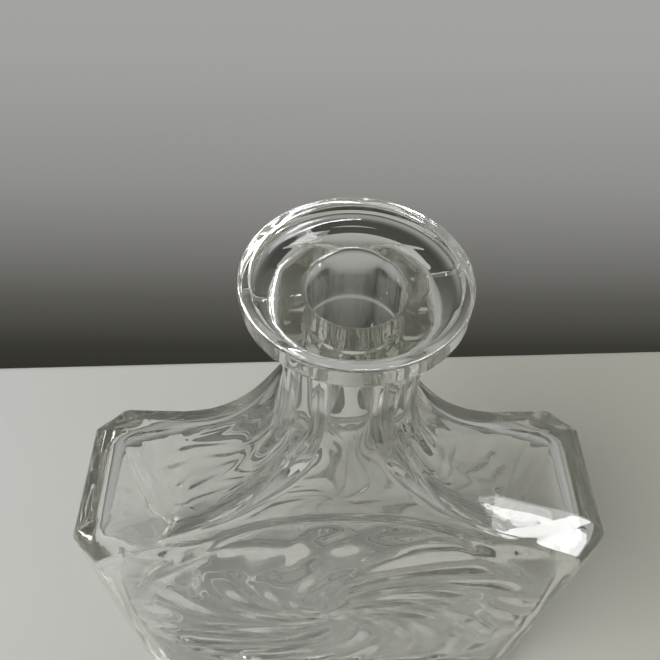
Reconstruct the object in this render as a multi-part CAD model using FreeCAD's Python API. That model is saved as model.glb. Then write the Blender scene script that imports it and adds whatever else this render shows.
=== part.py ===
"""Glass decanter: a flat eight-sided flask with concave shoulders, a faceted neck and a dished mouth.

Millimetres. The origin is the middle of the foot, +Z is up, X is the broad way and -Y is the front.
The vessel is one casting. Its regions are modelled as solids that meet face to face: foot, walls,
corners, shoulders, neck, mouth disc, and the pressed pinwheel on each broad face.
"""
import FreeCAD
import Part
import math
import os

from FreeCAD import Vector

# Body
WIDTH = 150.0            # over the two ends
DEPTH = 49.0             # over the two broad faces
CORNER = 7.3             # flat cut off each upright corner, along X and along Y
SHOULDER_Z = 125.0       # foot to the shoulder tips
WALL = 4.3
BASE = 12.0              # glass under the hollow
HEEL = 1.5               # bevel round the foot
PUNT = 2.0               # depth of the hollow under the foot
FOOT_RIM = 8.0           # width of the rim that the vessel stands on

# Shoulders and neck
SHOULDER_RISE = 55.0     # shoulder tips to the straight neck
NECK_WALL = 4.85         # glass between the bore and the neck's flats
NECK_FRONT_FLAT = 18.0   # width of the front and back flats
NECK_SIDE_FLAT = 15.6    # width of the left and right flats
NECK_LENGTH = 25.0       # straight part, up to the mouth disc

# Mouth
BORE_D = 20.7            # what a stopper or a pourer fits
BORE_LENGTH = 13.7
BORE_EASE = 0.6          # bevel at the mouth of the bore
THROAT_EASE = 1.25       # how far the throat stands back from the bore, all round
THROAT_STEP = 2.5        # height of the cone from the throat to the bore
COLLAR_WALL = 3.65       # glass between the bore and the disc's own ring
DISC_D = 47.5
DISC_FLOOR = 4.2         # underside to the floor of the dish
DISC_HEIGHT = 7.6        # underside to the top of the lip
LIP = 2.5                # width of the rounded lip
DISC_EDGE = 5.2          # height of the disc's edge, from the lip's top down
UNDER_FLAT = 2.0         # flat of the underside, outside the neck
DISH_WIDTH = 2.5         # how far in from the lip the dish is steep
DISH_DROP = 0.9          # how high it still stands over its floor there

# Pinwheel
WHEEL_SIDE = 10.0        # margin at the ends
WHEEL_FOOT = 10.5        # margin at the foot
WHEEL_CLIMB = 15.5       # how far it may rise over the shoulder tips
RELIEF = 1.2             # how far it stands out of the face
BORDER = 1.8
HUB_R = 7.0
FLUTES = 22
FLUTE_TURN = 62.0        # degrees that a flute swings on its way out
FLUTE_FILL = 0.55        # of its pitch, at the rim
FLUTE_STEPS = 8
TOUCH = 0.4              # overlap that joins the flutes to the hub and to the border

# The shoulder, from the body up to the neck. Each row has the height as a share of SHOULDER_RISE,
# then shares that go from 1 at the body to 0 at the neck: how far out the end stands, where its
# flat stops, where the broad face stops, and the face's depth at that edge and at its middle.
OUTLINE = (
    (-0.15, 1.00, 1.00, 1.00, 1.00, 1.00),
    (-0.07, 1.00, 1.00, 1.00, 1.00, 0.97),
    (0.00, 1.00, 1.00, 1.00, 1.00, 0.83),
    (0.027, 0.97, 0.89, 0.85, 0.78, 0.75),
    (0.07, 0.91, 0.71, 0.715, 0.60, 0.60),
    (0.10, 0.76, 0.49, 0.64, 0.52, 0.52),
    (0.12, 0.59, 0.24, 0.59, 0.48, 0.48),
    (0.145, 0.50, 0.12, 0.54, 0.43, 0.43),
    (0.19, 0.41, 0.00, 0.46, 0.38, 0.38),
    (0.255, 0.33, -0.08, 0.38, 0.35, 0.35),
    (0.335, 0.25, -0.13, 0.31, 0.33, 0.33),
    (0.435, 0.18, -0.13, 0.245, 0.28, 0.28),
    (0.60, 0.10, -0.05, 0.16, 0.19, 0.19),
    (0.78, 0.03, -0.02, 0.08, 0.09, 0.09),
    (1.00, 0.00, 0.00, 0.00, 0.00, 0.00),
)

NECK_ACROSS = BORE_D + 2 * NECK_WALL
THROAT_R = BORE_D / 2 + THROAT_EASE

BODY_SIZES = (WIDTH / 2, DEPTH / 2 - CORNER, WIDTH / 2 - CORNER, DEPTH / 2, DEPTH / 2)
NECK_SIZES = (NECK_ACROSS / 2, NECK_SIDE_FLAT / 2, NECK_FRONT_FLAT / 2, NECK_ACROSS / 2, NECK_ACROSS / 2)
# How much of a wall's thickness each size gives up. An octagon's edges move in by tan 22.5 degrees.
EDGE_SHARE = math.tan(math.radians(22.5))
WALL_SHARES = (1.0, EDGE_SHARE, EDGE_SHARE, 1.0, 1.0)

SHELL_Z = SHOULDER_Z + OUTLINE[0][0] * SHOULDER_RISE
NECK_Z = SHOULDER_Z + SHOULDER_RISE
DISC_Z = NECK_Z + NECK_LENGTH
FLOOR_Z = DISC_Z + DISC_FLOOR
TOP_Z = DISC_Z + DISC_HEIGHT
WHEEL_R = min(WIDTH / 2 - WHEEL_SIDE, (SHOULDER_Z + WHEEL_CLIMB - WHEEL_FOOT) / 2)
WHEEL_Z = WHEEL_FOOT + WHEEL_R


def outer(z):
    """The five sizes of the outside at a height: end, end's edge, face's edge, its depth, face's depth."""
    share = (z - SHOULDER_Z) / SHOULDER_RISE
    share = min(max(share, OUTLINE[0][0]), OUTLINE[-1][0])
    for low, high in zip(OUTLINE, OUTLINE[1:]):
        if share <= high[0]:
            break
    t = (share - low[0]) / (high[0] - low[0])
    sizes = []
    for i, (body, neck) in enumerate(zip(BODY_SIZES, NECK_SIZES), start=1):
        k = low[i] + t * (high[i] - low[i])
        sizes.append(neck + k * (body - neck))
    return sizes


def inner(z):
    """The same five sizes inside: the outside moved in by WALL, square to its own slope."""
    tries = []
    for angle in range(0, 91, 10):
        rise = WALL * math.sin(math.radians(angle))
        inset = WALL * math.cos(math.radians(angle))
        tries.append([size - inset * share for size, share in zip(outer(z + rise), WALL_SHARES)])
    sizes = []
    for i, share in enumerate(WALL_SHARES):
        least = THROAT_R * share
        sizes.append(max(min(row[i] for row in tries), least))
    return sizes


def wire(points, z):
    loop = [Vector(x, y, z) for x, y in points]
    return Part.makePolygon(loop + loop[:1])


def prism(points, z0, z1):
    return Part.Face(wire(points, z0)).extrude(Vector(0, 0, z1 - z0))


def loft(outline_at, heights):
    """A ruled solid through the outlines at the given heights."""
    return Part.makeLoft([wire(outline_at(z), z) for z in heights], True, True)


def octagon(sizes, grow=0.0):
    end, end_edge, face_x, face_y, _ = sizes
    x, y = end + grow, face_y + grow
    a, b = face_x + grow * EDGE_SHARE, end_edge + grow * EDGE_SHARE
    return [(-a, -y), (a, -y), (x, -b), (x, b), (a, y), (-a, y), (-x, b), (-x, -b)]


def face_line(sizes, side, grow=0.0):
    """Five points along a broad face, from left to right. side is -1 at the front and 1 at the back."""
    _, _, edge, depth, middle = sizes
    points = []
    for share in (-1.0, -0.5, 0.0, 0.5, 1.0):
        y = middle + (depth - middle) * share * share + grow
        points.append((share * edge, side * y))
    return points


def end_line(sizes, side):
    """Four points round one end, from the front to the back. side is -1 at the left, 1 at the right."""
    end, end_edge, face_x, face_y, _ = sizes
    return [(side * face_x, -face_y), (side * end, -end_edge), (side * end, end_edge), (side * face_x, face_y)]


def ring_part(line, side):
    """The outline of a piece of wall: its outer line, then its inner line back again."""
    return lambda z: line(outer(z), side) + line(inner(z), side)[::-1]


def foot():
    full = BODY_SIZES
    heel = Part.makeLoft([wire(octagon(full, -HEEL), 0), wire(octagon(full), HEEL)], True, True)
    slab = prism(octagon(full), HEEL, BASE)
    punt = prism(octagon(full, -FOOT_RIM), -1.0, PUNT)
    return heel.fuse(slab).removeSplitter().cut(punt)


def walls():
    """The upright walls: two broad faces, two ends and the four corners between them."""
    parts = {}
    out, hollow = outer(SHELL_Z), inner(BASE)
    for side, name in ((-1, "front"), (1, "back")):
        points = [face_line(out, side)[i] for i in (0, 4)] + [face_line(hollow, side)[i] for i in (4, 0)]
        parts[name + "_wall"] = prism(points, BASE, SHELL_Z)
    for side, name in ((-1, "left"), (1, "right")):
        around, inside = end_line(out, side), end_line(hollow, side)
        parts[name + "_end_wall"] = prism([around[1], around[2], inside[2], inside[1]], BASE, SHELL_Z)
        for first, place in ((0, "front"), (2, "back")):
            points = [around[first], around[first + 1], inside[first + 1], inside[first]]
            parts["_".join((name, place, "corner"))] = prism(points, BASE, SHELL_Z)
    return parts


def shoulder_heights():
    """The table's own heights, with one more between the shoulder tips and the hollow under them."""
    heights = [SHOULDER_Z + row[0] * SHOULDER_RISE for row in OUTLINE]
    return sorted(heights + [SHOULDER_Z - WALL * 0.5])


def shoulders():
    heights = shoulder_heights()
    return {
        "front_shoulder": loft(ring_part(face_line, -1), heights),
        "back_shoulder": loft(ring_part(face_line, 1), heights),
        "left_shoulder": loft(ring_part(end_line, -1), heights),
        "right_shoulder": loft(ring_part(end_line, 1), heights),
    }


def cylinder(radius, z0, z1):
    return Part.makeCylinder(radius, z1 - z0, Vector(0, 0, z0))


def cone(r0, r1, z0, z1):
    return Part.makeCone(r0, r1, z1 - z0, Vector(0, 0, z0))


def neck():
    bore_r = BORE_D / 2
    bore_z = FLOOR_Z - BORE_LENGTH
    body = prism(octagon(NECK_SIZES), NECK_Z, DISC_Z)
    body = body.fuse(cylinder(bore_r + COLLAR_WALL, DISC_Z, FLOOR_Z))
    body = body.cut(cylinder(THROAT_R, NECK_Z, bore_z - THROAT_STEP))
    body = body.cut(cone(THROAT_R, bore_r, bore_z - THROAT_STEP, bore_z))
    body = body.cut(cylinder(bore_r, bore_z, FLOOR_Z))
    return body.cut(cone(bore_r, bore_r + BORE_EASE, FLOOR_Z - BORE_EASE, FLOOR_Z))


def mouth_disc():
    """A ring round the top of the neck: tapered underside, upright edge, round lip and dished top."""
    inside, edge = BORE_D / 2 + COLLAR_WALL, DISC_D / 2
    flat_r = NECK_ACROSS / 2 + UNDER_FLAT
    lip_r = LIP / 2
    top = Vector(edge - lip_r, 0, TOP_Z)
    lip_in = Vector(edge - LIP, 0, TOP_Z - lip_r)
    lip_out = Vector(edge, 0, TOP_Z - lip_r)
    floor = Vector(inside, 0, FLOOR_Z)
    dip = Vector(edge - LIP - DISH_WIDTH, 0, FLOOR_Z + DISH_DROP)
    under = [Vector(inside, 0, DISC_Z), Vector(flat_r, 0, DISC_Z), Vector(edge, 0, TOP_Z - DISC_EDGE)]
    edges = [
        Part.makeLine(under[0], under[1]),
        Part.makeLine(under[1], under[2]),
        Part.makeLine(under[2], lip_out),
        Part.Arc(lip_out, top, lip_in).toShape(),
        Part.Arc(lip_in, dip, floor).toShape(),
        Part.makeLine(floor, under[0]),
    ]
    return Part.Face(Part.Wire(edges)).revolve(Vector(0, 0, 0), Vector(0, 0, 1), 360)


def flute(index, side):
    """One curved flute, as a flat face in the X-Z plane. Seen from outside, it swings clockwise."""
    pitch = 2 * math.pi / FLUTES
    r0, r1 = HUB_R - TOUCH, WHEEL_R - BORDER + TOUCH
    edges = ([], [])
    for step in range(FLUTE_STEPS + 1):
        t = step / FLUTE_STEPS
        r = r0 + t * (r1 - r0)
        middle = index * pitch + math.radians(FLUTE_TURN) * t
        for line, half in zip(edges, (0.5, -0.5)):
            angle = middle + half * FLUTE_FILL * pitch
            line.append(Vector(-side * r * math.sin(angle), 0, r * math.cos(angle) + WHEEL_Z))
    loop = edges[0] + edges[1][::-1]
    return Part.Face(Part.makePolygon(loop + loop[:1]))


def disc_face(radius, hole=0.0):
    circle = Part.Circle(Vector(0, 0, WHEEL_Z), Vector(0, 1, 0), radius).toShape()
    face = Part.Face(Part.Wire(circle))
    return face.cut(disc_face(hole)) if hole else face


def pinwheel(side):
    """Border, hub and flutes, standing RELIEF out of a broad face and following its slope."""
    pattern = disc_face(WHEEL_R, WHEEL_R - BORDER)
    pattern = pattern.fuse([disc_face(HUB_R)] + [flute(i, side) for i in range(FLUTES)])
    block = Part.makeCompound([face.extrude(Vector(0, side * DEPTH, 0)) for face in pattern.Faces])

    def skin_outline(z):
        sizes = outer(z)
        return face_line(sizes, side) + face_line(sizes, side, RELIEF)[::-1]

    skin = loft(skin_outline, [0.0] + shoulder_heights())
    pieces = [solid.common(skin) for solid in block.Solids]
    return pieces[0].fuse(pieces[1:]).removeSplitter()


def build():
    parts = {"foot": foot(), "neck": neck(), "mouth_disc": mouth_disc()}
    parts.update(walls())
    parts.update(shoulders())
    parts["front_pinwheel"] = pinwheel(-1)
    parts["back_pinwheel"] = pinwheel(1)
    return parts


os.makedirs("parts", exist_ok=True)
for name, shape in build().items():
    shape.exportStep("parts/%s.step" % name)
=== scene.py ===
"""Looks for the glass decanter: one clear casting on a pale table, in the CAD model's frame.

The vessel is a single closed wall of glass, so that light crosses it without meeting a joint.
Its outside and inside are one sheet of level rings, laid from the foot up over the mouth and
down again to the floor of the hollow. Metres, +Z up, front towards -Y.
"""
import math

import bpy
import numpy as np
from mathutils import Matrix, Vector


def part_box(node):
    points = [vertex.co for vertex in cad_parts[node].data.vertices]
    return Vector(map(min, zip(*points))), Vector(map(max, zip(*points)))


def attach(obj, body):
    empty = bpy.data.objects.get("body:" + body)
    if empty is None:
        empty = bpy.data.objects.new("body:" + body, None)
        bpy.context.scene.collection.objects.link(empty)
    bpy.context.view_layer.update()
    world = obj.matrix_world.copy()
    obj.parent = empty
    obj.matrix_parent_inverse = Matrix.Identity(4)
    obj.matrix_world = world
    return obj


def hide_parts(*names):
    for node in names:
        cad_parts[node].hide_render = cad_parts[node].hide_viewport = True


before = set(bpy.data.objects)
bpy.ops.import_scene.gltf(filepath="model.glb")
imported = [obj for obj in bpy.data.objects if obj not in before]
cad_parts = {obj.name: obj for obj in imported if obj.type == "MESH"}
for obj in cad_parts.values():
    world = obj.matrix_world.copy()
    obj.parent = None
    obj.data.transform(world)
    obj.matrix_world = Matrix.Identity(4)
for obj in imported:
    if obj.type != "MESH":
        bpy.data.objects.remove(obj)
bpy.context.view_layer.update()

MM = 0.001

# ---------------------------------------------------------------- sizes, read from the frame


def size_of(node):
    low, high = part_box(node)
    return high - low


foot_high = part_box("foot")[1]
wall_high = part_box("front_wall")[1]
shoulder_low, shoulder_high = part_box("left_shoulder")
neck_low, neck_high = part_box("neck")
mouth_low, mouth_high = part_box("mouth_disc")
wheel_low, wheel_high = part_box("front_pinwheel")

HALF_WIDTH = foot_high.x
HALF_DEPTH = foot_high.y
CORNER = foot_high.x - wall_high.x
WALL = size_of("front_wall").y
BASE_Z = foot_high.z
STRAIGHT_SHARE = 0.15                    # the shoulder pieces start this share of the rise below the tips
RISE = (shoulder_high.z - shoulder_low.z) / (1 + STRAIGHT_SHARE)
TIP_Z = shoulder_high.z - RISE
NECK_Z = neck_low.z
NECK_HALF = neck_high.x
DISC_Z = mouth_low.z
TOP_Z = mouth_high.z
DISC_R = mouth_high.x
FLOOR_Z = neck_high.z
WHEEL_R = wheel_high.x
WHEEL_Z = wheel_low.z + WHEEL_R

# Sizes that no box gives
NECK_FRONT_FLAT = 18 * MM
NECK_SIDE_FLAT = 15.6 * MM
BORE_R = 10.35 * MM
BORE_LENGTH = 13.7 * MM
THROAT_R = 11.6 * MM
THROAT_STEP = 2.5 * MM
THROAT_EASE = 0.5 * MM                   # how much wider the throat is just below the bore
HEEL = 1.5 * MM
FOOT_RIM = 8 * MM
PUNT = 2 * MM
LIP = 2.5 * MM
DISC_EDGE = 5.2 * MM
EDGE_CORNER = 0.8 * MM                   # round under the disc's edge
FILLET = 4.2 * MM                        # between the neck and the disc's underside
FILLET_PLAY = 0.9 * MM                   # the fillet starts this far out from the neck's flats
BORE_CORNER = 1.1 * MM                   # round at the mouth of the bore
LIP_CORNER = 0.6 * MM                    # round of the lip's outer corner
LIP_CROWN = 5.5 * MM                     # the lip's top is part of a ring this thick, leaning inwards
EDGE_SHARE = math.tan(math.radians(22.5))

# ---------------------------------------------------------------- the outside, by height

# Shares of the rise from the shoulder tips, then shares that go from 1 at the body to 0 at the neck:
# end, end flat's edge, broad face's edge, the face's depth there and at its middle
OUTLINE = (
    (-0.20, 1.00, 1.00, 1.00, 1.00, 1.00),
    (-0.15, 1.00, 1.00, 1.00, 1.00, 0.995),
    (-0.11, 1.00, 1.00, 1.00, 1.00, 0.975),
    (-0.07, 1.00, 1.00, 1.00, 1.00, 0.935),
    (-0.03, 1.00, 1.00, 1.00, 1.00, 0.88),
    (-0.01, 1.00, 1.00, 1.00, 1.00, 0.848),
    (0.005, 0.995, 0.98, 0.98, 0.95, 0.82),
    (0.027, 0.97, 0.89, 0.85, 0.78, 0.75),
    (0.055, 0.935, 0.77, 0.75, 0.65, 0.65),
    (0.070, 0.905, 0.71, 0.715, 0.60, 0.60),
    (0.10, 0.76, 0.49, 0.64, 0.52, 0.52),
    (0.12, 0.59, 0.24, 0.59, 0.48, 0.48),
    (0.145, 0.50, 0.12, 0.54, 0.43, 0.43),
    (0.19, 0.41, 0.00, 0.46, 0.38, 0.38),
    (0.255, 0.33, -0.08, 0.38, 0.35, 0.35),
    (0.335, 0.25, -0.13, 0.31, 0.33, 0.33),
    (0.435, 0.18, -0.13, 0.245, 0.28, 0.28),
    (0.60, 0.10, -0.05, 0.16, 0.19, 0.19),
    (0.78, 0.03, -0.02, 0.08, 0.09, 0.09),
    (1.00, 0.00, 0.00, 0.00, 0.00, 0.00),
)
BODY_SIZES = np.array((HALF_WIDTH, HALF_DEPTH - CORNER, HALF_WIDTH - CORNER, HALF_DEPTH, HALF_DEPTH))
NECK_SIZES = np.array((NECK_HALF, NECK_SIDE_FLAT / 2, NECK_FRONT_FLAT / 2, NECK_HALF, NECK_HALF))
WALL_SHARES = np.array((1.0, EDGE_SHARE, EDGE_SHARE, 1.0, 1.0))


def smooth_curve(knots, values, at):
    """Passes through every knot without overshoot, with no corner at any of them."""
    knots, values = np.asarray(knots, float), np.asarray(values, float)
    gaps = np.diff(knots)
    slopes = np.diff(values) / gaps
    tangents = np.zeros(len(knots))
    for i in range(1, len(knots) - 1):
        if slopes[i - 1] * slopes[i] > 0:
            w0, w1 = 2 * gaps[i] + gaps[i - 1], gaps[i] + 2 * gaps[i - 1]
            tangents[i] = (w0 + w1) / (w0 / slopes[i - 1] + w1 / slopes[i])
    at = np.clip(at, knots[0], knots[-1])
    i = np.clip(np.searchsorted(knots, at, side="right") - 1, 0, len(gaps) - 1)
    t = (at - knots[i]) / gaps[i]
    start, end = values[i], values[i + 1]
    pull = gaps[i] * ((t ** 3 - 2 * t ** 2 + t) * tangents[i] + (t ** 3 - t ** 2) * tangents[i + 1])
    return start + (3 * t ** 2 - 2 * t ** 3) * (end - start) + pull


def outer_sizes(z):
    """Rows of the five sizes of the outside, one for each height."""
    share = (np.atleast_1d(z) - TIP_Z) / RISE
    knots = [row[0] for row in OUTLINE]
    columns = [smooth_curve(knots, [row[i] for row in OUTLINE], share) for i in range(1, 6)]
    return NECK_SIZES + np.stack(columns, 1) * (BODY_SIZES - NECK_SIZES)


def inner_sizes(z):
    """The same sizes inside: the outside moved in by the wall, square to its own slope."""
    tries = []
    for angle in np.radians(np.arange(0, 91, 2.5)):
        higher = outer_sizes(np.atleast_1d(z) + WALL * math.sin(angle))
        tries.append(higher - WALL * math.cos(angle) * WALL_SHARES)
    return np.maximum(np.min(tries, axis=0), THROAT_R * WALL_SHARES)


# ---------------------------------------------------------------- rings

FACE_COLUMNS = 96
END_COLUMNS = 16
BEVEL_COLUMNS = 6
CORNER_COLUMNS = 3
CROWDING = 0.35                          # how much closer together the columns are at a face's middle
SIDES = (FACE_COLUMNS, BEVEL_COLUMNS, END_COLUMNS, BEVEL_COLUMNS) * 2
COLUMNS = sum(SIDES) + len(SIDES) * CORNER_COLUMNS

SEAM_ANGLES = (11.0, 191.0)              # where the two halves of the mould met, on the mouth
SEAM_HALF = 0.28 * MM
LEAST_BEVEL = 0.8 * MM                   # a ring that has shrunk a long way keeps this much bevel


def octagon(sizes, grow=0.0):
    end, end_edge, face_x, face_y = sizes[:4]
    x, y = end + grow, face_y + grow
    a = min(face_x + grow * EDGE_SHARE, x - LEAST_BEVEL)
    b = min(end_edge + grow * EDGE_SHARE, y - LEAST_BEVEL)
    return np.array([(-a, -y), (a, -y), (x, -b), (x, b), (a, y), (-a, y), (-x, b), (-x, -b)])


def ring(sizes, rounding, grow=0.0):
    """An eight-sided ring with rounded corners. The broad faces may swell or sink at the middle."""
    corners = octagon(sizes, grow)
    swell = sizes[4] - sizes[3]
    count = len(corners)
    spans = np.roll(corners, -1, 0) - corners
    lengths = np.linalg.norm(spans, axis=1)
    ways = spans / lengths[:, None]
    reach = [min(rounding, 0.42 * lengths[i - 1], 0.42 * lengths[i]) for i in range(count)]
    points = []
    for i, steps in enumerate(SIDES):
        after = (i + 1) % count
        start = corners[i] + ways[i] * reach[i]
        stop = corners[after] - ways[i] * reach[after]
        t = np.linspace(0, 1, steps + 1)[:, None]
        if steps == FACE_COLUMNS:
            t = t + CROWDING * np.sin(2 * math.pi * t) / (2 * math.pi)
        line = start + (stop - start) * t
        if steps == FACE_COLUMNS:
            across = line[:, 0] / corners[1][0]
            line[:, 1] += np.sign(line[0, 1]) * swell * (1 - across ** 2)
        points.append(line)
        t = (np.arange(1, CORNER_COLUMNS) / CORNER_COLUMNS)[:, None]
        out = corners[after] + ways[after] * reach[after]
        points.append((1 - t) ** 2 * stop + 2 * t * (1 - t) * corners[after] + t ** 2 * out)
    return np.concatenate(points)


NECK_RING = ring(NECK_SIZES, 0.8 * MM)
OWN_ANGLES = np.unwrap(np.arctan2(NECK_RING[:, 1], NECK_RING[:, 0]))
FRONT_COLUMN = FACE_COLUMNS // 2
EVEN_ANGLES = -math.pi / 2 + (np.arange(COLUMNS) - FRONT_COLUMN) * 2 * math.pi / COLUMNS


MOST_EVEN = 0.85                         # how far towards equal steps the columns may slide


def circle(radius, evenness=1.0):
    """A round ring. evenness slides its points from the neck's own places towards equal steps."""
    angles = OWN_ANGLES + MOST_EVEN * evenness * (EVEN_ANGLES - OWN_ANGLES)
    for seam in SEAM_ANGLES:
        turn = math.radians(seam)
        away = (angles - turn + math.pi) % (2 * math.pi) - math.pi
        middle = int(np.argmin(np.abs(away)))
        for step in (-1, 0, 1):
            j = (middle + step) % COLUMNS
            angles[j] += evenness * (step * SEAM_HALF / radius - away[j])
    return np.stack([np.cos(angles), np.sin(angles)], 1) * radius


# ---------------------------------------------------------------- the rows, from the foot to the hollow

ROW_STEP = 1.12 * MM
LOW_ROW_STEP = 1.3 * MM                  # on the lower body
LOW_BODY_Z = 70 * MM
HOLLOW_STEP = 1.4 * MM
LOW_HOLLOW_STEP = 3.2 * MM               # on the hollow's straight sides
STRAIGHT_TOP = TIP_Z - 8 * MM
END_WEIGHT = 0.6                         # how much a row's spacing heeds the ends' slope


def spaced_heights(z0, z1, sizes_at, step):
    """Heights from z0 to z1, closer together where the outline runs flat."""
    z = np.linspace(z0, z1, 1500)
    sizes = sizes_at(z)
    moves = np.diff(sizes, axis=0)
    lengths = np.sqrt(np.diff(z) ** 2 + (END_WEIGHT * moves[:, 0]) ** 2 + moves[:, 4] ** 2)
    along = np.concatenate([[0], np.cumsum(lengths)])
    count = max(2, int(round(along[-1] / step)))
    return np.interp(np.linspace(0, along[-1], count + 1), along, z)


def arc(centre, radius, start, stop, steps):
    """Points of an arc in the (r, z) plane, by angle in degrees."""
    angles = np.radians(np.linspace(start, stop, steps + 1))
    return [(centre[0] + radius * math.cos(a), centre[1] + radius * math.sin(a)) for a in angles]


def foot_rows():
    """The hollow under the foot, the slope down to its rim, the rim and the heel."""
    rows = []
    inset = FOOT_RIM + 5 * MM
    rows.append((ring(BODY_SIZES, 4 * MM, -inset), PUNT))
    for share in (0.0, 0.25, 0.5, 0.75, 1.0):
        turn = 0.5 - 0.5 * math.cos(math.pi * share)
        rows.append((ring(BODY_SIZES, 3 * MM, -(FOOT_RIM + 3 * MM * (1 - share))), PUNT * (1 - turn)))
    for share in (0.3, 0.65, 0.9):
        rows.append((ring(BODY_SIZES, 2 * MM, -(FOOT_RIM + share * (HEEL - FOOT_RIM))), 0.0))
    for r, z in arc((-HEEL, HEEL), HEEL, -90, 0, 5):
        rows.append((ring(BODY_SIZES, 1.2 * MM, r), z))
    return rows


def outside_rows():
    rows = []
    low = spaced_heights(HEEL, LOW_BODY_Z, outer_sizes, LOW_ROW_STEP)[1:]
    high = spaced_heights(LOW_BODY_Z, NECK_Z, outer_sizes, ROW_STEP)[1:]
    heights = np.concatenate([low, high])
    for z, sizes in zip(heights, outer_sizes(heights)):
        # the edges are crisp on the body and softer towards the neck
        up = np.clip((z - TIP_Z) / RISE, 0, 1)
        rows.append((ring(sizes, (0.55 + 0.95 * up) * MM), z))
    return rows


NECK_ROUND = 1.4 * MM


def neck_rows():
    rows = []
    top = DISC_Z - FILLET
    for z in np.linspace(NECK_Z, top, 12)[1:]:
        rows.append((ring(NECK_SIZES, NECK_ROUND), z))
    return rows


def mouth_profile():
    """Outline of the disc in the (r, z) plane, from the neck's fillet out, over the lip and down the bore."""
    edge_low = TOP_Z - DISC_EDGE
    lip_r = LIP / 2
    lip_z = TOP_Z - lip_r
    points = arc((NECK_HALF + FILLET_PLAY + FILLET, DISC_Z - FILLET), FILLET, 180, 105, 8)
    start, stop = np.array(points[-1]), np.array((DISC_R - 0.9 * MM, edge_low - 0.35 * MM))
    for t in np.linspace(0, 1, 6)[1:]:
        points.append(tuple(start + (stop - start) * t))
    points += arc((DISC_R - EDGE_CORNER, edge_low + 0.55 * MM), EDGE_CORNER, -50, 0, 3)
    points += [(DISC_R, z) for z in np.linspace(edge_low + 1.1 * MM, TOP_Z - 1.2 * MM, 4)]
    points += arc((DISC_R - LIP_CORNER, TOP_Z - LIP_CORNER), LIP_CORNER, 0, 78, 4)
    crown = arc((DISC_R - 0.1 * MM, TOP_Z - 0.05 * MM - LIP_CROWN), LIP_CROWN, 96, 115, 6)
    points += [p for p in crown if DISC_R - LIP + 0.25 * MM < p[0] < points[-1][0] - 0.1 * MM]
    # a steep wall, then a floor that is all but level
    dish = [
        (DISC_R - LIP + 0.1 * MM, lip_z + 0.28 * MM),
        (DISC_R - LIP - 0.05 * MM, lip_z - 0.35 * MM),
        (DISC_R - LIP - 0.3 * MM, FLOOR_Z + 1.4 * MM),
        (DISC_R - LIP - 0.6 * MM, FLOOR_Z + 0.8 * MM),
        (DISC_R - LIP - 1.0 * MM, FLOOR_Z + 0.4 * MM),
        (DISC_R - LIP - 1.6 * MM, FLOOR_Z + 0.16 * MM),
        (DISC_R - LIP - 2.5 * MM, FLOOR_Z + 0.07 * MM),
        (DISC_R - LIP - 4.2 * MM, FLOOR_Z + 0.05 * MM),
        (DISC_R - LIP - 6.2 * MM, FLOOR_Z + 0.03 * MM),
        (DISC_R - LIP - 8.4 * MM, FLOOR_Z + 0.02 * MM),
        (BORE_R + 2.2 * MM, FLOOR_Z + 0.01 * MM),
    ]
    points += dish
    points += arc((BORE_R + BORE_CORNER, FLOOR_Z - BORE_CORNER), BORE_CORNER, 90, 180, 6)
    bore_z = FLOOR_Z - BORE_LENGTH
    points += [(BORE_R, z) for z in np.linspace(FLOOR_Z - 2 * MM, bore_z, 8)]
    for share in np.linspace(0, 1, 7)[1:]:
        turn = 0.5 - 0.5 * math.cos(math.pi * share)
        points.append((BORE_R + THROAT_EASE * turn, bore_z - THROAT_STEP * share))
    return points


FILLET_ROWS = 9                          # in these rows the octagon turns into a circle
SPREADING_ROWS = 14                      # in these rows the columns take even places round the mouth
RETURNING_ROWS = 7                       # in these rows, down the bore, they go back to the neck's


def eased(share):
    """From 0 to 1 with a level start and end."""
    return share * share * (3 - 2 * share)


def mouth_rows():
    points = mouth_profile()
    rows = []
    last = len(points) - 1
    for i, (r, z) in enumerate(points):
        spread = max(0.0, (i - 1) / (SPREADING_ROWS - 1))
        xy = circle(r, eased(min(1.0, spread, (last - i) / RETURNING_ROWS)))
        if i < FILLET_ROWS:
            blend = i / FILLET_ROWS
            grow = r - NECK_HALF - FILLET_PLAY * (1 - blend)
            flats = ring(NECK_SIZES, NECK_ROUND + 4 * MM * blend, grow)
            xy = flats + (xy - flats) * blend ** 0.7
        rows.append((xy, z))
    return rows


INNER_ROUND = 3.0 * MM                   # round of the hollow's upright corners
FLOOR_ROUND = 7 * MM                     # round between the hollow's sides and its floor
ROUND_FROM = TIP_Z + 0.22 * RISE         # the hollow starts to turn round here
ROUND_OVER = 0.7 * RISE                  # and takes this far to become a circle


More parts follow.
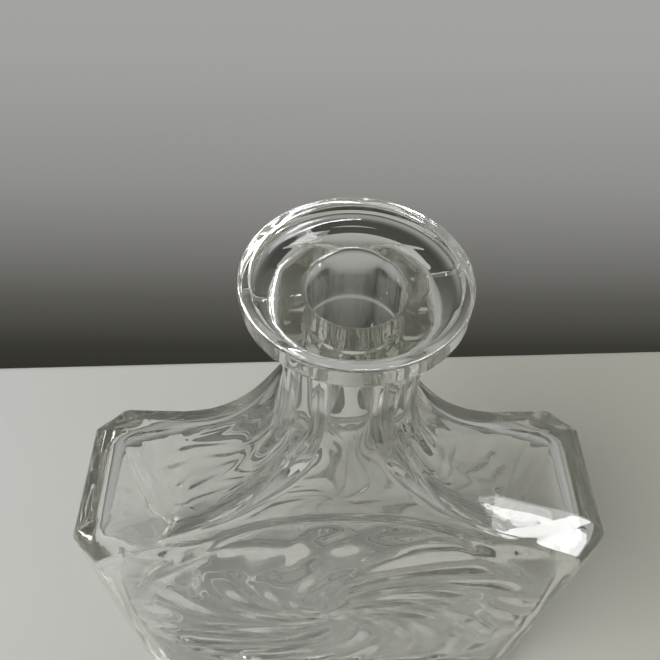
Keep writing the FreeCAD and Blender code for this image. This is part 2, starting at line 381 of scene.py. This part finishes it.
def inside_rows():
    rows = []
    throat_top = FLOOR_Z - BORE_LENGTH - THROAT_STEP
    for share in (0.25, 0.5, 0.75):
        radius = BORE_R + THROAT_EASE + (THROAT_R - BORE_R - THROAT_EASE) * share
        rows.append((circle(radius, 0.0), throat_top + (NECK_Z - throat_top) * share))
    bottom = BASE_Z + FLOOR_ROUND
    low = spaced_heights(bottom, STRAIGHT_TOP, inner_sizes, LOW_HOLLOW_STEP)[:-1]
    high = spaced_heights(STRAIGHT_TOP, NECK_Z, inner_sizes, HOLLOW_STEP)
    heights = np.concatenate([low, high])[::-1]
    for z, sizes in zip(heights, inner_sizes(heights)):
        up = np.clip((z - TIP_Z) / RISE, 0, 1)
        flats = ring(sizes, INNER_ROUND * (1 + 3 * up))
        blend = eased(np.clip((z - ROUND_FROM) / ROUND_OVER, 0, 1))
        rows.append((flats + (circle(THROAT_R, 0.0) - flats) * blend, z))
    sizes = inner_sizes(bottom)[0]
    for r, z in arc((-FLOOR_ROUND, bottom), FLOOR_ROUND, 0, -90, 7)[1:]:
        rows.append((ring(sizes, INNER_ROUND, r), z))
    rows.append((ring(sizes, 4 * MM, -FLOOR_ROUND - 4 * MM), BASE_Z))
    return rows


# ---------------------------------------------------------------- relief on the broad faces

FLUTES = 22
FLUTE_TURN = math.radians(64)            # how far a flute swings on its way out
FLUTE_MARGIN = 3.4 * MM                  # between the flutes' usual ends and the border
HUB_R = 6.5 * MM
RELIEF = 1.15 * MM
BORDER = 3.2 * MM
THUMB_INSET = 4.4 * MM                   # how far the thumb marks lie inside the border
THUMB_HALF = 3.6 * MM


def rounded(distance, half):
    """The height of a soft, fire-polished ridge, 1 at its middle and 0 at its edge."""
    t = np.clip(1 - distance / half, 0, 1)
    return np.sqrt(t * (2 - t)) * (0.35 + 0.65 * t * (2 - t))


def soft(distance, half):
    """A low swelling that runs out smoothly, 1 at its middle and 0 at its edge."""
    return (1 - np.clip(distance / half, 0, 1) ** 2) ** 2


def pinwheel_height(x, z):
    """Height of the pressed pattern at a place on a broad face, as a share of RELIEF. x runs right."""
    up = z - WHEEL_Z
    r = np.hypot(x, up)
    angle = np.arctan2(x, up)
    border = 0.9 * rounded(np.abs(r - WHEEL_R + BORDER / 2), BORDER / 2)
    inside_r = WHEEL_R - BORDER - FLUTE_MARGIN
    t = np.clip((r - HUB_R) / (inside_r - HUB_R), 0, 1.2)
    pitch = 2 * math.pi / FLUTES
    place = (angle - FLUTE_TURN * t ** 0.92) / pitch
    index = np.floor(place + 0.5)
    # no two flutes stand or end quite alike
    wobble = np.sin(index * 2.4 + 0.7) * 0.08 + np.sin(index * 5.1 + t * 6) * 0.07
    off = (place - index - wobble) * pitch * r
    # a slanted flute is measured square to its run
    lean = np.clip(np.cos(np.arctan(FLUTE_TURN * r / (inside_r - HUB_R))), 0.45, 1)
    half = (0.7 + 3.2 * np.clip(t, 0, 1) ** 1.1) * MM * (1 + 0.2 * np.sin(index * 3.3))
    ends = inside_r + np.sin(index * 1.9) * 2.0 * MM - 1.5 * MM
    beyond = np.maximum(r - ends, 0)
    flute = 0.9 * rounded(np.hypot(np.abs(off) * lean, beyond * 0.9), half * 1.15)
    # each flute swells and thins along its length, as if it had run in the mould
    beads = 0.55 + 0.45 * np.sin(t * (8.0 + 2.0 * np.sin(index * 1.7)) + index * 2.9)
    flute = flute * beads
    # a short thumb mark between the outer ends of each two flutes
    between = place - np.floor(place) - 0.5
    thumb_r = WHEEL_R - BORDER - THUMB_INSET
    thumb = soft(np.hypot(between * pitch * r * 0.95, (r - thumb_r) * 0.62), THUMB_HALF)
    hub = 0.4 * soft(r, HUB_R * 1.3)
    pattern = np.maximum.reduce([border, flute, hub]) - 0.25 * thumb * (r < WHEEL_R - BORDER)
    return np.where(r < WHEEL_R, pattern, 0)


# ---------------------------------------------------------------- the vessel


BLOWN_HEIGHT = 0.06 * MM
SEAM_HEIGHT = 0.13 * MM
SEAM_ROWS = (18, 50)                     # of the mouth's rows, those that show a seam
FLAME_PASSES = 2                         # how often the whole outside is evened out
NECK_PASSES = 14                         # more, from the shoulders up
HOLLOW_PASSES = 36


def clear_selection():
    bpy.ops.object.select_all(action="DESELECT")


def edit_mode(obj):
    clear_selection()
    bpy.context.view_layer.objects.active = obj
    obj.select_set(True)
    bpy.ops.object.mode_set(mode="EDIT")


def object_mode():
    bpy.ops.object.mode_set(mode="OBJECT")


def blown_waves(points):
    """Slow waves that a blown hollow has, square to its broad faces, in metres."""
    x, z = points[..., 0], points[..., 2]
    side = np.sign(points[..., 1])
    wave = np.sin(x * 130 + side * 1.3 + 1.4 * np.sin(z * 75))
    wave = wave * np.sin(z * 115 + side * 0.8 + 1.1 * np.sin(x * 90))
    return BLOWN_HEIGHT * wave


def polish(points, first, last, passes):
    """Evens out a run of rows, up and down, as the flame does."""
    for _ in range(passes):
        run = points[first - 1:last + 2]
        points[first:last + 1] = (run[:-2] + 2 * run[1:-1] + run[2:]) / 4


def soften(relief, body):
    """Runs the relief together a little, as glass does before it sets."""
    area = relief[body]
    area = (np.roll(area, 1, 0) + 2 * area + np.roll(area, -1, 0)) / 4
    relief[body] = (np.roll(area, 1, 1) + 2 * area + np.roll(area, -1, 1)) / 4


def vessel_points():
    """All rows as one array, and the relief's height at each point as a share of RELIEF."""
    parts = [foot_rows(), outside_rows(), neck_rows(), mouth_rows(), inside_rows()]
    rows = [row for part in parts for row in part]
    xy = np.array([row[0] for row in rows])
    z = np.array([row[1] for row in rows])
    points = np.concatenate([xy, np.broadcast_to(z[:, None, None], xy.shape[:2] + (1,))], 2)
    counts = np.cumsum([len(part) for part in parts])
    relief = np.zeros(points.shape[:2])
    body = slice(counts[0], counts[1])
    for first, way in ((0, 1), (COLUMNS // 2, -1)):
        face = slice(first, first + FACE_COLUMNS + 1)
        place = points[body, face]
        relief[body, face] = pinwheel_height(place[..., 0] * way, place[..., 2])
    polish(points, counts[0] + 3, counts[2] - 2, FLAME_PASSES)
    shoulder_top = counts[0] + int(np.argmax(z[counts[0]:counts[1]] > TIP_Z + 0.16 * RISE))
    polish(points, shoulder_top, counts[2] - 2, NECK_PASSES)
    polish(points, counts[3] + 1, len(points) - 9, HOLLOW_PASSES)
    soften(relief, body)
    hollow = points[counts[3]:]
    hollow[..., 1] += blown_waves(hollow) * np.clip((NECK_Z - hollow[..., 2]) / (0.5 * RISE), 0, 1)
    lip_rows = slice(counts[2] + SEAM_ROWS[0], counts[2] + SEAM_ROWS[1])
    for seam in SEAM_ANGLES:
        angles = np.arctan2(points[lip_rows, :, 1], points[lip_rows, :, 0]) - math.radians(seam)
        away = np.abs((angles + math.pi) % (2 * math.pi) - math.pi)
        j = int(np.argmin(away[4]))
        relief[lip_rows, j] = SEAM_HEIGHT / RELIEF
    return points, relief


def make_vessel():
    points, relief = vessel_points()
    row_count = len(points)
    clear_selection()
    bpy.ops.mesh.primitive_grid_add(x_subdivisions=COLUMNS, y_subdivisions=row_count - 1, size=1)
    vessel = bpy.context.object
    vessel.name = vessel.data.name = "glass_vessel"
    sheet = np.concatenate([points, points[:, :1]], 1)
    vessel.data.vertices.foreach_set("co", sheet.astype(np.float32).ravel())
    heights = np.concatenate([relief, relief[:, :1]], 1).ravel()
    add_weights(vessel, "raised", heights)
    add_weights(vessel, "sunk", -heights)
    close_sheet(vessel)
    press(vessel, "raised", RELIEF)
    press(vessel, "sunk", -RELIEF)
    clear_selection()
    vessel.select_set(True)
    bpy.ops.object.shade_smooth()
    return vessel


def add_weights(vessel, name, heights):
    """A vertex group that holds the heights over 0, in steps of a two-hundredth."""
    group = vessel.vertex_groups.new(name=name)
    levels = np.round(np.clip(heights, 0, 1) * 200).astype(int)
    for level in np.unique(levels[levels > 0]):
        group.add(np.flatnonzero(levels == level).tolist(), level / 200, "REPLACE")


def close_sheet(vessel):
    """Joins the sheet's two long edges and fills the rings left at the foot and the hollow's floor."""
    edit_mode(vessel)
    bpy.ops.mesh.select_all(action="SELECT")
    bpy.ops.mesh.remove_doubles(threshold=1e-6)
    bpy.ops.mesh.select_all(action="DESELECT")
    bpy.ops.mesh.select_mode(type="EDGE")
    bpy.ops.mesh.select_non_manifold(extend=False, use_wire=False, use_multi_face=False,
                                     use_non_contiguous=False, use_verts=False)
    object_mode()
    edges = vessel.data.edges
    open_edges = [e.index for e in edges if e.select]
    heights = {i: vessel.data.vertices[edges[i].vertices[0]].co.z for i in open_edges}
    for low in (True, False):
        edit_mode(vessel)
        bpy.ops.mesh.select_all(action="DESELECT")
        object_mode()
        for i in open_edges:
            vessel.data.edges[i].select = (heights[i] < BASE_Z / 2) == low
        edit_mode(vessel)
        bpy.ops.mesh.edge_face_add()
        bpy.ops.mesh.poke()
        object_mode()
    edit_mode(vessel)
    bpy.ops.mesh.select_all(action="SELECT")
    bpy.ops.mesh.normals_make_consistent(inside=False)
    object_mode()


def press(vessel, group, height):
    """Moves the glass along its normals by height, times each vertex's weight in the group."""
    lift = vessel.modifiers.new(group, "DISPLACE")
    lift.vertex_group = group
    lift.direction = "NORMAL"
    lift.mid_level = 0.0
    lift.strength = height
    clear_selection()
    bpy.context.view_layer.objects.active = vessel
    vessel.select_set(True)
    bpy.ops.object.modifier_apply(modifier=lift.name)


# ---------------------------------------------------------------- shader maths


class Value:
    """A socket of a node tree, with the arithmetic that the materials use."""

    def __init__(self, tree, socket):
        self.tree, self.socket = tree, socket

    def math(self, operation, *others, swap=False):
        inputs = [self, *others]
        if swap:
            inputs = inputs[::-1]
        return self.tree.node("ShaderNodeMath", {"operation": operation}, dict(enumerate(inputs)))

    def __add__(self, other):
        return self.math("ADD", other)

    __radd__ = __add__

    def __sub__(self, other):
        return self.math("SUBTRACT", other)

    def __rsub__(self, other):
        return self.math("SUBTRACT", other, swap=True)

    def __mul__(self, other):
        return self.math("MULTIPLY", other)

    __rmul__ = __mul__

    def __pow__(self, other):
        return self.math("POWER", other)


class Tree:
    """Adds nodes to one material or world."""

    def __init__(self, owner):
        owner.use_nodes = True
        self.nodes, self.links = owner.node_tree.nodes, owner.node_tree.links
        self.nodes.clear()

    def node(self, kind, settings=None, inputs=None, output=0):
        made = self.nodes.new(kind)
        for name, value in (settings or {}).items():
            if name == "stops":
                ramp = made.color_ramp
                while len(ramp.elements) < len(value):
                    ramp.elements.new(1.0)
                for element, (place, colour) in zip(ramp.elements, value):
                    element.position, element.color = place, (*colour, 1)
            else:
                setattr(made, name, value)
        for name, value in (inputs or {}).items():
            if isinstance(value, Value):
                self.links.new(value.socket, made.inputs[name])
            else:
                made.inputs[name].default_value = value
        return Value(self, made.outputs[output])

    def object_place(self):
        return self.node("ShaderNodeTexCoord", output="Object")


def grey(level):
    return (level, level, level)


def clear_glass():
    """Clear pressed glass: an olive cast in thick glass, slow ripples and faint wear."""
    material = bpy.data.materials.new("clear_glass")
    tree = Tree(material)
    place = tree.object_place()
    slow = tree.node("ShaderNodeTexNoise", None, {"Vector": place, "Scale": 55.0, "Detail": 1.0})
    fine = tree.node("ShaderNodeTexNoise", None, {"Vector": place, "Scale": 240.0, "Detail": 2.0})
    ripple = slow + fine * 0.03
    bump = tree.node("ShaderNodeBump", None, {"Strength": 1.0, "Distance": 0.05 * MM, "Height": ripple})
    wear = tree.node("ShaderNodeTexNoise", None, {"Vector": place, "Scale": 90.0, "Detail": 4.0})
    rough = (wear ** 3.0) * 0.06
    tint = tree.node("ShaderNodeMix", {"data_type": "RGBA"},
                     {0: slow, 6: (0.95, 0.955, 0.945, 1), 7: (0.985, 0.985, 0.98, 1)}, output=2)
    glass = tree.node("ShaderNodeBsdfPrincipled", None, {
        "Base Color": tint, "Roughness": rough, "IOR": 1.51, "Transmission Weight": 1.0, "Normal": bump})
    depth = tree.node("ShaderNodeVolumeAbsorption", None, {
        "Color": (0.72, 0.722, 0.665, 1), "Density": 12.0})
    finish_material(tree, glass, depth)
    return material


def finish_material(tree, surface, volume=None):
    out = tree.nodes.new("ShaderNodeOutputMaterial")
    tree.links.new(surface.socket, out.inputs["Surface"])
    if volume is not None:
        tree.links.new(volume.socket, out.inputs["Volume"])


def table_paint_with_painted_shade():
    """Pale, slightly uneven satin paint, with painted shade that makes it a little darker towards the right.
    """
    material = bpy.data.materials.new("table_paint_with_painted_shade")
    tree = Tree(material)
    place = tree.object_place()
    cloud = tree.node("ShaderNodeTexNoise", None, {"Vector": place, "Scale": 9.0, "Detail": 3.0})
    across = tree.node("ShaderNodeSeparateXYZ", None, {0: place}, output=0)
    # painted shade: the colour darkens from left to right in place of light falling off
    share = tree.node("ShaderNodeMapRange", None, {0: across + cloud * 0.02, 1: -0.16, 2: 0.16})
    colour = tree.node("ShaderNodeMix", {"data_type": "RGBA"},
                       {0: share, 6: (0.57, 0.57, 0.55, 1), 7: (0.50, 0.50, 0.44, 1)}, output=2)
    surface = tree.node("ShaderNodeBsdfPrincipled", None, {
        "Base Color": colour, "Roughness": 0.6, "Specular IOR Level": 0.08})
    finish_material(tree, surface)
    return material


def shaded_wall(name, foot_z, top_z):
    """A wall that glows instead of being lit, with painted shade: dark at its foot and grey higher up."""
    material = bpy.data.materials.new(name)
    tree = Tree(material)
    place = tree.object_place()
    height = tree.node("ShaderNodeSeparateXYZ", None, {0: place}, output=2)
    share = (height - foot_z) * (1 / (top_z - foot_z))
    # painted shadow dark at the wall's foot, behind the table, fading to grey higher up
    stops = [(0.0, (0.033, 0.032, 0.027)), (0.07, (0.042, 0.041, 0.035)), (0.19, (0.10, 0.098, 0.088)),
             (0.42, (0.275, 0.272, 0.258)), (0.6, (0.36, 0.357, 0.345)), (1.0, (0.42, 0.417, 0.405))]
    colour = tree.node("ShaderNodeValToRGB", {"stops": stops}, {0: share})
    # the wall glows with its painted light and shade instead of being lit
    surface = tree.node("ShaderNodeEmission", None, {"Color": colour, "Strength": 1.0})
    finish_material(tree, surface)
    return material


# ---------------------------------------------------------------- table, wall, light and camera

TABLE_FAR = 0.1377                       # its far edge, behind the vessel
TABLE_WIDTH, TABLE_DEPTH, TABLE_THICK = 3.2, 2.0, 0.03
TABLE_TURN = math.radians(2.15)          # how far its far edge is turned from the vessel's faces
TABLE_GAP = 0.15 * MM                    # the foot stands clear of the table by this much


def make_table():
    clear_selection()
    middle = Vector((0, TABLE_FAR - TABLE_DEPTH / 2, 0))
    middle.rotate(Matrix.Rotation(TABLE_TURN, 3, "Z"))
    middle.z = -TABLE_GAP - TABLE_THICK / 2
    bpy.ops.mesh.primitive_cube_add(size=1, location=middle, rotation=(0, 0, TABLE_TURN),
                                    scale=(TABLE_WIDTH, TABLE_DEPTH, TABLE_THICK))
    table = bpy.context.object
    table.name = "table"
    bpy.ops.object.transform_apply(location=True, rotation=True, scale=True)
    edge = table.modifiers.new("edge", "BEVEL")
    edge.width, edge.segments = 0.003, 3
    bpy.ops.object.modifier_apply(modifier=edge.name)
    table.data.materials.append(table_paint_with_painted_shade())


BACKDROP_Y = 0.36


def make_wall():
    clear_selection()
    bpy.ops.mesh.primitive_grid_add(x_subdivisions=8, y_subdivisions=8, size=1,
                                    location=(0, BACKDROP_Y, 0.25), rotation=(math.pi / 2, 0, 0))
    wall = bpy.context.object
    wall.name = "wall"
    wall.scale = (4, 1.7, 1)
    bpy.ops.object.transform_apply(location=True, rotation=True, scale=True)
    wall.data.materials.append(shaded_wall("wall_glow_with_painted_shade", -0.32, 0.30))


def area_light(name, place, aim, size, power, mirrored=False):
    """A soft light. A mirrored one shows only in gloss and through glass, and the other sort only lights."""
    data = bpy.data.lights.new(name, "AREA")
    data.shape, data.size, data.size_y = "RECTANGLE", size[0], size[1]
    data.energy = power
    light = bpy.data.objects.new(name, data)
    bpy.context.scene.collection.objects.link(light)
    light.location = place
    data.cycles.cast_shadow = False
    light.visible_diffuse = not mirrored
    light.visible_glossy = light.visible_transmission = mirrored
    light.rotation_mode = "QUATERNION"
    light.rotation_quaternion = (Vector(aim) - Vector(place)).to_track_quat("-Z", "Y")


BEVEL_SPOT = Vector((0.058, -0.018, 0.129))      # the right front bevel, which the window lights up
LIP_SPOT = Vector((0, 0.029, 0.2124))            # the back of the lip


def mirrored_light(name, spot, way, distance, size, power):
    area_light(name, spot + Vector(way).normalized() * distance, spot, size, power, mirrored=True)


def make_lights():
    mirrored_light("window", BEVEL_SPOT, (0.64, -0.30, 0.70), 1.5, (0.75, 0.62), 18.0)
    mirrored_light("curtain", BEVEL_SPOT, (0.66, -0.05, 0.74), 1.6, (1.7, 1.1), 26.0)
    mirrored_light("skylight", LIP_SPOT, (0.084, 0.30, 0.95), 0.5, (0.03, 0.2), 0.5)
    area_light("sky", (-1.0, -0.7, 1.4), (0, 0, 0.1), (1.2, 1.0), 26.0)
    world = bpy.data.worlds.new("room")
    bpy.context.scene.world = world
    tree = Tree(world)
    place = tree.node("ShaderNodeTexCoord", output="Generated")
    upward = tree.node("ShaderNodeSeparateXYZ", None, {0: place}, output=2)
    share = upward * 0.5 + 0.5
    stops = [(0.0, grey(0.25)), (0.45, grey(0.35)), (0.6, grey(0.5)), (1.0, grey(0.7))]
    colour = tree.node("ShaderNodeValToRGB", {"stops": stops}, {0: share})
    glow = tree.node("ShaderNodeBackground", None, {"Color": colour, "Strength": 0.5})
    out = tree.nodes.new("ShaderNodeOutputWorld")
    tree.links.new(glow.socket, out.inputs["Surface"])


def allow_deep_paths(cycles):
    """Light runs a long way inside the neck and the shoulders before it leaves the glass."""
    cycles.max_bounces = 40
    cycles.transmission_bounces = 40
    cycles.glossy_bounces = 24


CAMERA_PLACE = (-0.009328, -0.096841, 0.314633)
CAMERA_LENS = 38.48


def make_camera():
    pitch, roll, yaw = (math.radians(a) for a in (50.98, 2.38, 2.62))
    forward = Vector((math.sin(yaw) * math.cos(pitch), math.cos(yaw) * math.cos(pitch), -math.sin(pitch)))
    level = Vector((math.cos(yaw), -math.sin(yaw), 0))
    lift = level.cross(forward)
    right = math.cos(roll) * level + math.sin(roll) * lift
    up = -math.sin(roll) * level + math.cos(roll) * lift
    data = bpy.data.cameras.new("camera")
    data.lens, data.sensor_width = CAMERA_LENS, 36
    data.clip_start, data.clip_end = 0.01, 20
    camera = bpy.data.objects.new("camera", data)
    bpy.context.scene.collection.objects.link(camera)
    turn = Matrix((right, up, -forward)).transposed().to_4x4()
    camera.matrix_world = Matrix.Translation(CAMERA_PLACE) @ turn
    bpy.context.scene.camera = camera


vessel = make_vessel()
vessel.data.materials.append(clear_glass())
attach(vessel, "root")
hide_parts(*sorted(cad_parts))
make_table()
make_wall()
make_lights()
make_camera()
bpy.context.scene.view_settings.view_transform = "Standard"
allow_deep_paths(bpy.context.scene.cycles)
